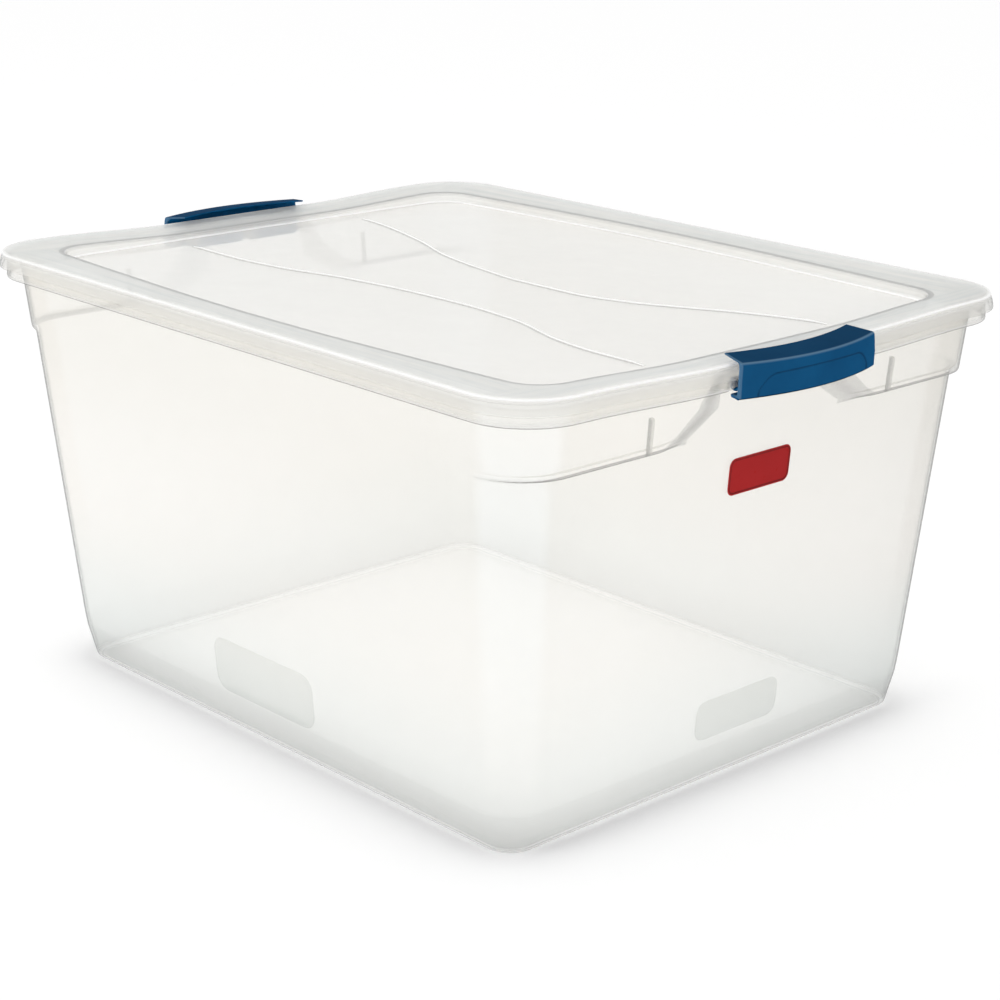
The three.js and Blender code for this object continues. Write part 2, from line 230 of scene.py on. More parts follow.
def gap_outer(z):
    return 98 - 1.3 * (z - 262.8) + 0.9 * max(0.0, z - 281) + 4.0 * (1 - smooth((z - 258.5) / 9))


def gap_inner(z):
    return max(44.5, 78 - 1.72 * (z - 255.4))


# ------------------------------------------------------------------ tub
NC = 22
E_FR = [0, .2, .4, .6, .8, .93, 1]
R_FR = [.04, .1, .18, .3, .42, .54, .66, .78, .88, .95, 1]
P_FR = [.03, .08, .16, .3, .48, .66, .84, 1]
S_FR = [.03, .08, .16, .28, .42, .56, .7, .85, 1]


def tub_row(s, proud=0.0, gi=None, go=None, z_of=None, edge=0.0, line=0.0, ramp_edge=0.0, ramp_line=0.0):
    z = s["z"] if z_of is None else None
    if gi is None:
        zz = max(LEDGE_Z, s.get("z", LEDGE_Z))
        gi, go = gap_inner(zz), gap_outer(zz)
    a, b, r = s["a"], s["b"], s["r"]
    end = b - r
    q = []

    def put(x, y, e, l):
        q.append((x, y, z if z_of is None else z_of(x, y), e, l))
    for f in E_FR:
        put(a, gi * f, 0.0 if proud else edge, line if not proud else 0.0)
    for f in R_FR:
        k = ease(f)
        band = 4 * k * (1 - k)
        ramp = max(band, 0.7) if 0.05 < f < 0.99 else band
        put(a + proud * k, mix(gi, go, f), max(edge * k if proud else edge, ramp_edge * ramp), min(line * k, ramp_line * ramp) if proud else line)
    for f in P_FR:
        put(a + proud, mix(go, end, f), edge, line)
    for i in range(1, NC + 1):
        t = (math.pi / 2) * (i / NC)
        p = proud * math.cos(t) ** 2
        fade = math.cos(t) ** 2 if proud else 1.0
        put(a - r + (r + p) * math.cos(t), end + (r + p) * math.sin(t), edge * fade, line * fade)
    for f in S_FR:
        put((a - r) * (1 - f), b, 0.0 if proud else edge, 0.0 if proud else line)
    return full_circle(q)


def rim_z(z0, notch=0.0):
    def z_of(x, y):
        on_end = abs(x) > LIP["a"] - 60
        d = DIP * dip_at(y) if on_end else 0.0
        return z0 - d + (notch * (1 - ease((abs(y) - 57.0) / 3.5)) if on_end else 0.0)
    return z_of


def make_tub(body):
    rows = []

    def add(s, **k):
        rows.append(tub_row(s, **k))
    low = between(NECK, BROW, LEDGE_Z)
    # underside and rounded foot, with a painted highlight along the bottom edge; the heel above is greyer, partly as
    # painted shade
    add(dict(inset(FOOT, 60), z=0.0), edge=0)
    add(dict(inset(FOOT, 14), z=0.0), edge=.05)
    add(dict(FOOT, z=0.0), edge=.35, line=.3)
    for i in range(1, 6):
        t = math.radians(15 * i)
        add(dict(a=246 + 4 * math.sin(t), b=201 + 4 * math.sin(t), r=18 + 4 * math.sin(t), z=4 * (1 - math.cos(t))), edge=.45, line=mix(.9, .2, i / 5))
    for z in (6, 10, 16, 22, 26):
        add(between(HEEL, KNEE, z), edge=mix(.22, .14, (z - 6) / 20), line=-.02)
    for dz, dx in ((28.5, -.15), (31, -.25), (34.5, -.12)):
        s = between(HEEL, KNEE, dz) if dz < 30 else between(KNEE, NECK, dz)
        add(dict(s, a=s["a"] + dx, b=s["b"] + dx), edge=.22 if dz < 31 else .08)
    for z in (40, 56, 80, 110, 140, 170, 200, 228, 248):
        bow = 0.0
        add(between(KNEE, NECK, z), edge=0.0 if z > 40 else .08)
    add(NECK)
    # the ledge where the short-end band stands out, with painted shade lines along it and a greyer ramp with a painted
    # shade line
    for z, p, e, l in ((256.9, .05, .15, -.2), (257.4, .4, .5, -.9), (257.8, 1.3, .8, -1.25), (258.0, 3.2, .8, -1.3), (258.05, 5.2, .8, -1.3), (258.2, 6.6, .9, -1.35), (258.7, 7.6, .8, -1.1), (259.5, 8, .3, -.25)):
        add(dict(low, z=z), proud=p, edge=e, line=l, ramp_edge=.5, ramp_line=-.45)
    for z in (261, 263.5, 266, 269, 272, 275, 280, 285):
        add(between(NECK, BROW, z), proud=PROUD, ramp_edge=.5, ramp_line=-.45)
    for z, gi, go in ((290, 44.4, 68.4), (294.5, 44.2, 65.0), (298, 44, 62)):
        add(between(NECK, BROW, z), proud=PROUD, gi=gi, go=go, ramp_edge=.5, ramp_line=-.45)
    brow = BROW
    add(dict(brow, z=301.6), proud=PROUD, gi=43, go=61, z_of=rim_z(301.6), edge=.3, ramp_edge=.6)
    # under the rim, round the lip and back over its top, with a painted shade line under the lip and painted highlights
    # on its rounding and top
    R = dict(gi=57, go=60.5)
    under = inset(LIP, 2.2)
    for k, z in ((.10, 303.0), (.35, 303.7), (.8, 303.8)):
        s = dict(a=mix(brow["a"] + PROUD, under["a"], k), b=mix(brow["b"], under["b"], k), r=mix(brow["r"] + 1, under["r"], k))
        rows.append(tub_row(dict(s, a=s["a"]), z_of=rim_z(z), edge=.5, **R))
    rows.append(tub_row(under, z_of=rim_z(303.0), edge=.4, **R))
    rows.append(tub_row(dict(under, a=under["a"] + .4, b=under["b"] + .4), z_of=rim_z(299.0, 3.0), edge=.3, **R))
    rows.append(tub_row(dict(under, a=under["a"] + .8, b=under["b"] + .8), z_of=rim_z(LIP_Z + .7, 7.4), edge=.6, line=-.3, **R))
    rows.append(tub_row(dict(under, a=under["a"] + 1.2, b=under["b"] + 1.2), z_of=rim_z(LIP_Z + .1, 7.4), edge=.9, line=-.7, **R))
    rows.append(tub_row(dict(LIP, a=LIP["a"] + .2, b=LIP["b"] + .2, r=LIP["r"] + .2), z_of=rim_z(LIP_Z, 7.4), edge=1, line=-1.0, **R))
    rows.append(tub_row(dict(LIP, a=LIP["a"] + .75, b=LIP["b"] + .75, r=LIP["r"] + .8), z_of=rim_z(LIP_Z + .35, 7.4), edge=1, line=-.8, **R))
    rows.append(tub_row(dict(LIP, a=LIP["a"] + .9, b=LIP["b"] + .9, r=LIP["r"] + .9), z_of=rim_z(LIP_Z + 1.1, 7.2), edge=.5, line=.5, **R))
    rows.append(tub_row(dict(LIP, a=LIP["a"] + .75, b=LIP["b"] + .75, r=LIP["r"] + .75), z_of=rim_z(LIP_Z + 2.6, 6.0), edge=.25, line=.1, **R))
    rows.append(tub_row(dict(LIP, a=LIP["a"] + .35, b=LIP["b"] + .35, r=LIP["r"] + .4), z_of=rim_z(300, 2.5), edge=.2, **R))
    rows.append(tub_row(LIP, z_of=rim_z(304.6), edge=.3, **R))
    rows.append(tub_row(inset(LIP, .25), z_of=rim_z(305.5), edge=.5, line=.2, **R))
    rows.append(tub_row(inset(LIP, .75), z_of=rim_z(306.0), edge=.6, line=.5, **R))
    rows.append(tub_row(inset(LIP, 1.5), z_of=rim_z(306.2), edge=.5, line=.4, **R))
    sh = dict(a=BROW["a"] + PROUD + .2, b=BROW["b"] + 1.0, r=BROW["r"] + 1.5)
    rows.append(tub_row(sh, z_of=rim_z(306.2), edge=.35, **R))
    wi = inset(BROW, WALL)
    for d, z, e in ((.3, 306.05, .6), (1.0, 305.5, .6), (1.3, 304.6, .4)):
        rows.append(tub_row(dict(a=sh["a"] - d, b=sh["b"] - d - .6 * d / 1.3, r=sh["r"] - d), z_of=rim_z(z), edge=e, line=.4 if d < 1 else 0, **R))
    n_outer = len(rows)
    add(dict(wi, z=301.6), proud=PROUD, gi=42, go=60, z_of=rim_z(301.6), ramp_edge=.2)
    for z, gi, go in ((298, 42.5, 60.5), (294.5, 42.7, 63.5), (290, 42.9, 66.9)):
        add(inset(between(NECK, BROW, z), WALL), proud=PROUD, gi=gi, go=go, ramp_edge=.2)
    for z in (285, 280, 275, 272, 269, 266):
        add(inset(between(NECK, BROW, z), WALL), proud=PROUD, gi=gap_inner(z) - 1.4, go=gap_outer(z) - 1.4, ramp_edge=.2)
    for z, p, e in ((262.7, 8, .2), (261.6, 7.6, .8), (261.0, 6.4, 1), (260.6, 3.4, 1), (260.4, 1.4, .9), (259.9, .4, .5), (258.9, 0, .1)):
        add(dict(inset(low, WALL), z=z), proud=p, gi=gap_inner(LEDGE_Z) - 1.4, go=gap_outer(LEDGE_Z) - 1.4, edge=.3 * e, ramp_edge=.2)
    for z in (248, 228, 200, 170, 140, 110, 80, 56, 40):
        add(inset(between(KNEE, NECK, z), WALL))
    add(dict(inset(KNEE, WALL + .2), z=31))
    for z in (24, 17, 12):
        add(inset(between(HEEL, KNEE, z), WALL), edge=0)
    # the inner heel rounds into the floor with a faint painted shade line
    for i in range(0, 6):
        t = math.radians(15 + 15 * i)
        k = 1 - math.cos(t)
        add(dict(a=mix(249.4, 244.4, k), b=mix(204.4, 199.4, k), r=mix(21, 16.5, k), z=BASE + 5.6 * (1 - math.sin(t))), edge=.03, line=-.12 if i in (2, 3) else 0)
    add(dict(inset(FOOT, 6), z=BASE), edge=.04)
    add(dict(inset(FOOT, 60), z=BASE), edge=0)
    verts, faces = loft([[p[:3] for p in r] for r in rows], (0, 0, 0), (0, 0, BASE))
    edge = [p[3] for r in rows for p in r] + [0, 0]
    line = [p[4] for r in rows for p in r] + [0, 0]
    n = len(rows[0])
    skin = [1.0 if k < n_outer else 0.0 for k in range(len(rows)) for _ in range(n)] + [1.0, 0.0]
    body.shell(verts, faces, edge, line, 0.0, skin)


def make_tub_ribs(body):
    """Short upright ribs on the proud band and the pivot bars on their webs."""
    for sx in (1, -1):
        for sy in (1, -1):
            y = 116.9 * sy
            rows = []
            prof = [(-1.35, 0), (-1.3, .55), (-.95, .9), (0, 1.0), (.95, .9), (1.3, .55), (1.35, 0)]
            for z, out in ((258.7, .3), (259.1, .75), (259.9, 1.0), (266, 1.0), (272, 1.0), (277, 1.0), (281, 1.0), (282.1, .8), (282.7, .35)):
                face = between(NECK, BROW, z)["a"] + PROUD
                x_out = 281.15 + (z - 261.5) * 0.075
                rows.append([(sx * mix(face - 1.2, x_out, k * out), y + d, z) for d, k in prof])
            n = len(prof)
            verts = [p for r in rows for p in r]
            faces = []
            for k in range(len(rows) - 1):
                for i in range(n):
                    j = (i + 1) % n
                    faces.append((k * n + i, k * n + j, (k + 1) * n + j, (k + 1) * n + i))
            faces.append(tuple(range(n)))
            faces.append(tuple(reversed(range((len(rows) - 1) * n, len(rows) * n))))
            # rib sides are greyer and carry painted shade lines
            body.shell(verts, faces, edge=[.9, .9, .45, .1, .45, .9, .9] * len(rows), line=[-.5, -.4, -.1, 0.0, -.1, -.4, -.5] * len(rows))
        # pivot bar: turned rod with rounded ends
        seg = 20
        rows = []
        for y, r in ((-55.5, 1.6), (-55.2, 2.2), (-54.4, 2.5), (-30, 2.5), (0, 2.5), (30, 2.5), (54.4, 2.5), (55.2, 2.2), (55.5, 1.6)):
            rows.append([(sx * (PIN_X + r * math.cos(2 * math.pi * i / seg)), y, PIN_Z + r * math.sin(2 * math.pi * i / seg)) for i in range(seg)])
        v, f = loft(rows, (sx * PIN_X, -55.5, PIN_Z), (sx * PIN_X, 55.5, PIN_Z))
        body.shell(v, f, edge=.5)
        for y0, y1 in ((-55.4, -52.5), (-1.5, 1.5), (52.5, 55.4)):
            out = [(272.2, 290.2), (287.6, 290.2), (288.6, 290.5), (289.1, 291.4), (289.2, 295), (289.2, 301.0), (272.2, 301.0)]
            mid = (y0 + y1) / 2
            rows = []
            for y, d in ((y0, .35), (y0 + .35, 0), (mid, 0), (y1 - .35, 0), (y1, .35)):
                rows.append([(sx * (x - d * (x > 280)), y, z + d * (z < 291)) for x, z in out])
            v, f = loft(rows, (sx * 281, y0, 295.5), (sx * 281, y1, 295.5))
            body.shell(v, f, edge=.5)


# ------------------------------------------------------------------ blank raised pads near the foot of two walls
def make_pads(body):
    def side(u, v, h):                       # on the long side facing -Y
        z = 52 + v
        return (1 + u, -(between(KNEE, NECK, z)["b"] + h), z)

    def end(u, v, h):                        # on the short end facing +X
        z = 52 + v
        return (between(KNEE, NECK, z)["a"] + h, 5 + u, z)
    prof = [(.9, -.9), (.5, -.2), (.2, .25), (.35, .5), (.8, .6), (2.2, .6), (2.6, .45), (2.9, .28), (3.4, .25), (6, .25)]
    body.shell(*plate(side, 114, 42, 12, prof), edge=.12, line=-.03)
    body.shell(*plate(end, 84, 30, 9, prof), edge=.12, line=-.03)


# ------------------------------------------------------------------ lid
LID_YS = [0, 8, 16, 24, 32, 40, 48, 54, 58, 62, 66, 70, 74, 79, 85, 92, 100, 110, 122, 136, 152, 168]
LID_XS = [.05, .14, .25, .38, .52, .66, .78, .9, 1]
END_X = hermite([(0, 262), (58, 261.6), (92, 261), (138, 260.4), (171, 259.9)])
SIDE_Y = hermite([(0, 205.5), (65, 204.6), (130, 201.5), (190, 198), (235.8, 194.9)])


def panel_quarter(d):
    cx, cy, r = 234.0, 169.0, 26.0
    t0, t1 = math.radians(4.5), math.radians(86)
    q = [(END_X(y * 171.0 / 180) - d, y * 171.0 / 180) for y in LID_YS]
    for i in range(NC + 1):
        t = mix(t0, t1, i / NC)
        q.append((cx + (r - d) * math.cos(t), cy + (r - d) * math.sin(t)))
    for f in LID_XS:
        x = 235.8 * (1 - f)
        q.append((x, SIDE_Y(x) - d))
    return q


def ring_quarter(s):
    end = s["b"] - s["r"]
    q = [(s["a"], y * end / 190.0) for y in LID_YS]
    for i in range(NC + 1):
        t = (math.pi / 2) * (i / NC)
        q.append((s["a"] - s["r"] + s["r"] * math.cos(t), end + s["r"] * math.sin(t)))
    for f in LID_XS:
        q.append(((s["a"] - s["r"]) * (1 - f), s["b"]))
    return q


def make_lid(body):
    rows = []

    def on_end(x):
        return abs(x) > 215

    def add(q, z_of, edge=0.0, line=0.0, veil=0.0, rim=0.0):
        rows.append(full_circle([(x, y, z_of(x, y), edge, line, veil, rim) for x, y in q]))

    def h(z0):
        return lambda x, y: z0 - (DIP * dip_at(y) if on_end(x) else 0.0)

    def flat(z0):
        return lambda x, y: z0
    sk = SKIRT
    # skirt, from its inner lower edge round and up to the crease
    add(ring_quarter(inset(sk, 1.3)), h(301.55), .1, 0, -.25)
    add(ring_quarter(inset(sk, .5)), h(301.5), .1, -.05, -.25)
    add(ring_quarter(inset(sk, .1)), h(301.8), .1, 0, -.25)
    add(ring_quarter(sk), h(302.4), .05, .05, -.25)
    for k in (.3, .6, .85):
        z = mix(302.4, 309.4, k)
        s = dict(a=mix(296, 293.75, k ** 1.3), b=mix(239.6, 237.7, k ** 1.3), r=mix(50, 47.8, k))
        add(ring_quarter(s), h(z), .1 if k < .8 else .2, 0, mix(-.25, -.1, k))
    # round the crease, with a painted highlight along it
    for d, z, l in ((.3, 309.9, .1), (.0, 310.6, .45), (.35, 311.2, 1.0), (.95, 311.65, 1.0), (1.8, 311.92, .5), (3.2, 312.0, .05)):
        s = inset(dict(a=293.5, b=237.5, r=47.5), d)
        add(ring_quarter(s), h(z), .25, l)
    # the border slopes gently down from the crease to its inner edge
    outer = ring_quarter(inset(dict(a=293.5, b=237.5, r=47.5), 3.2))
    inner = panel_quarter(-4.9)
    for k in (.08, .2, .35, .5, .65, .8, .92, 1.0):
        q = [(mix(p[0], r[0], k), mix(p[1], r[1], k)) for p, r in zip(outer, inner)]
        add(q, h(mix(312.0, BAND_Z + .38, k)), .5 if k < .95 else .6, 0, veil=.06, rim=1.0)
    # painted shade lines near the border's inner edge
    for d, l in ((-4.3, -.75), (-1.1, -.9)):
        add(panel_quarter(d), h(BAND_Z + .38 * (-d - .25) / 4.65), .6, l, veil=.06, rim=1.0)
    # over the inner edge and down the step to the panel, with a painted shade line over the inner edge and a painted
    # highlight along the foot of the step
    add(panel_quarter(-.3), h(BAND_Z), .4, -.1, veil=.04, rim=.6)
    add(panel_quarter(.15), h(BAND_Z - .3), .3, -.3, veil=.04)
    add(panel_quarter(.45), h(BAND_Z - .9), .1, -.1)

    def step(k):
        return lambda x, y: mix(h(BAND_Z - .9)(x, y), PANEL_Z + 1.0, k)
    add(panel_quarter(.9), step(.35), .05, .12)
    add(panel_quarter(1.3), step(.7), .05, .15)
    add(panel_quarter(1.7), step(1.0), .1, .45)
    add(panel_quarter(2.1), flat(PANEL_Z + .4), .1, .95)
    add(panel_quarter(2.7), flat(PANEL_Z + .1), .1, .95)
    add(panel_quarter(3.5), flat(PANEL_Z), .1, .3)
    add(panel_quarter(4.6), flat(PANEL_Z), .1, -.08)
    for d in (7, 12, 20):
        add(panel_quarter(d), flat(PANEL_Z))
    base = panel_quarter(5)
    for k in (.9, .72, .5, .25):
        add([(x * k, y * k) for x, y in base], flat(PANEL_Z))
    n_top = len(rows)
    # underside, from the middle out
    for k in (.25, .5, .72, .9):
        add([(x * k, y * k) for x, y in base], flat(PANEL_Z - LID_T))
    for d in (20, 12, 7, 4):
        add(panel_quarter(d), flat(PANEL_Z - LID_T))
    add(panel_quarter(2.2), flat(PANEL_Z - LID_T), .05, 0)
    add(panel_quarter(1.1), flat(PANEL_Z - LID_T + .3), .1, 0)
    for d, k in ((.3, .3), (-.3, .6), (-1.0, .85)):
        add(panel_quarter(d), lambda x, y, k=k: mix(PANEL_Z - LID_T + .5, h(BAND_Z - LID_T)(x, y), k), .05, 0)
    add(panel_quarter(-1.7), h(BAND_Z - LID_T + .05), .1, 0)
    # the border's underside, out to the bead that rests on the rim
    c6 = ring_quarter(inset(CREASE, 8.5))
    pin = panel_quarter(-2.6)
    for k in (0.0, .35, .7, 1.0):
        add([(mix(p[0], r[0], k), mix(p[1], r[1], k)) for p, r in zip(pin, c6)], h(mix(BAND_Z - LID_T + .1, 309.7, k)), .1, 0)
    add(ring_quarter(inset(CREASE, 7.0)), h(309.8), .15, 0)
    for d, z in ((6.6, 309.4), (6.45, 307.4), (6.2, 306.8), (5.6, 306.66), (5.0, 306.8), (4.75, 307.4), (4.6, 309.4)):
        add(ring_quarter(inset(CREASE, d)), h(z), .3, 0)
    add(ring_quarter(inset(CREASE, 3.4)), h(309.8), .15, 0)
    add(ring_quarter(inset(CREASE, 1.9)), h(308.8), .15, 0)
    add(ring_quarter(inset(sk, 3.4)), h(305.6), .1, 0)
    add(ring_quarter(inset(sk, 1.9)), h(302.2), .2, 0)
    order = [[p for p in r] for r in rows]
    # one closed ring of rows: the first and last rows meet at the skirt's lower edge, with the middle closed by fans
    top, under = order[:n_top], order[n_top:]
    seq = list(reversed(top)) + list(reversed(under))
    verts, faces = loft([[p[:3] for p in r] for r in seq], (0, 0, PANEL_Z), (0, 0, PANEL_Z - LID_T))
    body.shell(verts, faces, [p[3] for r in seq for p in r] + [0, 0], [p[4] for r in seq for p in r] + [0, 0], [p[5] for r in seq for p in r] + [0, 0], 1.0, [p[6] for r in seq for p in r] + [0, 0])


def make_lid_ribs(body):
    lines = [
        [(-231, -88.4), (-178.8, -89.8), (-127.7, -85.2), (-69.4, -71.4), (3.2, -63.3), (48.1, -62.2), (103.4, -66.8), (166.7, -84.2), (204.6, -88.3), (245, -88.2)],
        [(-236, 81.9), (-210.5, 78.3), (-136.9, 57.9), (-81.7, 36.4), (-24.4, 24.1), (19.5, 18.5), (72.7, 19.0), (115.6, 29.2), (148.3, 44.6), (189.2, 66.1), (232.2, 82.4), (247, 86)],
    ]
    sec = [(-1.75, -.9), (-1.6, -.1), (-1.2, .22), (-.75, .75), (-.3, 1.08), (0, 1.15), (.3, 1.08), (.75, .75), (1.2, .22), (1.6, -.1), (1.75, -.9)]
    for pts in lines:
        curve = hermite(pts)
        n = 150
        x0, x1 = pts[0][0], pts[-1][0]
        frames = []
        for i in range(n + 1):
            x = mix(x0, x1, i / n)
            y = curve(x)
            dy = (curve(min(x + 1, x1)) - curve(max(x - 1, x0))) / (min(x + 1, x1) - max(x - 1, x0))
            s = math.hypot(1, dy)
            t = min(i, n - i) / 3.0
            up = min(1.0, .25 + .75 * t)
            frames.append(((x, y, PANEL_Z), (-dy / s, 1 / s, 0), (0, 0, up)))
        v, f = sweep(frames, sec)
        # painted highlight along the crest, slight painted shade on the flank that faces -Y
        line = []
        for _ in range(n + 1):
            for a, b in sec:
                line.append(1.0 if b > .7 and a > -.9 else (-.6 if a < -.9 and b > -.2 else .35))
        body.shell(v, f, .5, line + [0, 0])


# ------------------------------------------------------------------ latch
def bow(t):
    return 1 - t * t


def round_section(pts, radii, n=4):
    """Rounds the corners of a closed list of (x, added bow, z, half width) points."""
    out = []
    m = len(pts)
    for i in range(m):
        p, q, s = pts[i - 1], pts[i], pts[(i + 1) % m]
        r = radii[i]
        if r <= 0:
            out.append(q)
            continue
        v1 = [p[k] - q[k] for k in range(4)]
        v2 = [s[k] - q[k] for k in range(4)]
        l1, l2 = math.hypot(v1[0], v1[2]), math.hypot(v2[0], v2[2])
        d = min(r, .48 * l1, .48 * l2)
        a = [q[k] + v1[k] * d / l1 for k in range(4)]
        b = [q[k] + v2[k] * d / l2 for k in range(4)]
        for j in range(n + 1):
            t = j / n
            out.append(tuple((1 - t) ** 2 * a[k] + 2 * t * (1 - t) * q[k] + t * t * b[k] for k in range(4)))
    return out


LATCH_ROWS = 128


def make_latch(body):
    B = 11.5
    # [x at the ends, x added at the middle, z, half width, corner radius]
    front = [(304.9, B, 290.2 + i * (308.2 - 290.2) / 26, 65.5 - .9 * max(0, i - 14) / 12) for i in range(27)]
    front = [(x - .055 * max(0.0, z - 298), b, z, w) for x, b, z, w in front]
    lower = round_section([
        (296.2, 0, 291.6, 64.2), (296.2, 0, 289.3, 64.2), (304.6, B, 289.25, 65.2)], [0, .8, 1.2], 4)
    last = front[-1]
    upper = round_section([
        last, (303.9, B, 311.4, 64.2), (284.4, 10, 313.5, 59), (284.5, 10, 312.3, 59), (299.9, B, 310.2, 62.6), (301.8, B, 307.0, 64.4), (302.0, B, 291.6, 65.3), (296.2, 0, 291.6, 64.2)],
        [0, 2.2, .5, .5, 1.6, 1.2, 1.4, 0], 5)[1:]
    sec = lower[1:] + front + upper[:-1]
    sec = [lower[0]] + sec
    n_front0 = len(lower)
    # painted highlight along the ridge between the front and the top
    painted_ridge_highlight = {n_front0 + len(front) + k: w for k, w in enumerate((0, .4, 1.0, 1.0, .4, 0))}
    n = LATCH_ROWS
    normals = section_normals(sec)
    rows = []
    edge_rows, line_rows = [], []
    for i in range(n + 1):
        # stations bunch near both ends so that the side edges can be rounded
        u = i / n
        t = -math.cos(math.pi * u) * .35 + (2 * u - 1) * .65
        # the sides of the plate are rounded over: everything closes in by a little at the last stations
        end_gap = (1 - abs(t)) * 65.0
        k = clamp01(end_gap / 1.1)
        shrink = .55 * (1 - math.sqrt(max(0.0, 1 - (1 - k) ** 2)))
        row = []
        er = []
        lr = []
        for j, (x, b, z, w) in enumerate(sec):
            y = t * w
            px = x + b * bow(t)
            pz = z
            e = 0.0
            if n_front0 <= j < n_front0 + len(front):
                # a shallow arched panel pressed into the front face, open at the bottom
                half = 53.0
                top = 304.0 - 1.6 * (abs(y) / half) ** 2 - 9.5 * max(0.0, (abs(y) - 38.0) / 15.0) ** 2.2
                dist = top - z
                if abs(y) < half + 4:
                    s = ease(clamp01((dist + .9) / 1.8), .2)
                    side = 1 - smooth((abs(y) - half + 2) / 3.0)
                    s *= side
                    px -= .75 * s
                    # painted shade line along the border of the pressed panel
                    e = 4 * s * (1 - s)
            # round over the side edges: pull surface points towards the middle of the wall
            if shrink > 0:
                nx, nz = normals[j]
                px -= nx * shrink
                pz -= nz * shrink
            row.append((px, y, pz))
            er.append(e)
            # painted highlight along the rounded side edges
            rim = .55 if end_gap < .7 and j >= n_front0 else 0.0
            lr.append(max(painted_ridge_highlight.get(j, 0.0) * .8, rim))
        rows.append(row)
        edge_rows.append(er)
        line_rows.append(lr)
    m = len(sec)
    verts = [p for r in rows for p in r]
    faces = []
    for k in range(n):
        for i in range(m):
            j = (i + 1) % m
            faces.append((k * m + i, k * m + j, (k + 1) * m + j, (k + 1) * m + i))
    cap = tessellate_polygon([[Vector((p[0], p[2], 0)) for p in sec]])
    for a, b, c in cap:
        faces.append((a, b, c))
        faces.append((n * m + c, n * m + b, n * m + a))
    body.shell(verts, faces, [e for r in edge_rows for e in r], [e for r in line_rows for e in r])


def section_normals(sec):
    m = len(sec)
    area = sum(sec[i][0] * sec[(i + 1) % m][2] - sec[(i + 1) % m][0] * sec[i][2] for i in range(m))
    sign = 1 if area > 0 else -1
    out = []
    for i in range(m):
        p, q = sec[i - 1], sec[(i + 1) % m]
        dx, dz = q[0] - p[0], q[2] - p[2]
        l = math.hypot(dx, dz) or 1.0
        out.append((sign * dz / l, -sign * dx / l))
    return out


def make_hooks(body):
    for y0, y1 in ((-49.5, -5), (5, 49.5)):
        outer, inner = [], []
        steps = 22
        for i in range(steps + 1):
            t = math.radians(mix(140, 400, i / steps))
            outer.append((PIN_X + 4.8 * math.cos(t), PIN_Z + 4.8 * math.sin(t)))
            inner.append((PIN_X + 2.9 * math.cos(t), PIN_Z + 2.9 * math.sin(t)))
        ring = outer + list(reversed(inner))
        m = len(ring)
        rows = []
        ys = [y0, y0 + .3, y0 + .8, mix(y0, y1, .5), y1 - .8, y1 - .3, y1]
        ins = [.35, .1, 0, 0, 0, .1, .35]
        for y, d in zip(ys, ins):
            row = []
            for i, (x, z) in enumerate(ring):
                r = math.hypot(x - PIN_X, z - PIN_Z)
                g = (r - d) / r if i <= steps else (r + d) / r
                row.append((PIN_X + (x - PIN_X) * g, y, PIN_Z + (z - PIN_Z) * g))
            rows.append(row)
        verts = [p for r in rows for p in r]
        faces = []
        for k in range(len(rows) - 1):
            for i in range(m):
                j = (i + 1) % m
                faces.append((k * m + i, k * m + j, (k + 1) * m + j, (k + 1) * m + i))
        half = steps + 1
        for base, rev in ((0, False), ((len(rows) - 1) * m, True)):
            for i in range(steps):
                fc = (base + i, base + i + 1, base + m - 2 - i, base + m - 1 - i)
                faces.append(tuple(reversed(fc)) if rev else fc)
        body.shell(verts, faces)
        arm = [(289.9, 289.4), (297.4, 289.4), (297.4, 291.5), (289.9, 291.5)]
        rows = [[(x, y, z) for x, z in arm] for y in (y0 + .1, y1 - .1)]
        v, f = loft(rows, (293.6, y0 + .1, 290.4), (293.6, y1 - .1, 290.4))
        body.shell(v, f)



# ------------------------------------------------------------------ badge
def wall_point(u, v, h, z0=225.5):
    """A point on the near end wall: u along Y, v up the wall, h out from it."""
    z = z0 + v
    return (between(KNEE, NECK, z)["a"] + h, u, z - h * WALL_SLOPE)


def make_badge(body, border):
    prof = [(.45, .25), (.12, .3), (0, .45), (.05, .62), (.3, .74), (.9, .78), (1.2, .74), (1.45, .66), (1.9, .64), (4, .66), (8, .7)]
    body.shell(*plate(wall_point, 60.5, 25, 5.5, prof, n=10), edge=0)
    ring = [(.9, .60), (.95, .86), (1.15, .93), (1.6, .93), (1.8, .86), (1.85, .60)]
    rows = []
    for d, hgt in ring:
        rows.append([wall_point(u, v, hgt) for u, v in rounded_rect(60.5 - 2 * d, 25 - 2 * d, 5.5 - d, 10)])
    n = len(rows[0])
    verts = [q for r in rows for q in r]
    faces = []
    for k in range(len(rows)):
        k2 = (k + 1) % len(rows)
        for i in range(n):
            j = (i + 1) % n
            faces.append((k * n + i, k * n + j, k2 * n + j, k2 * n + i))
    border.shell(verts, faces, edge=0)


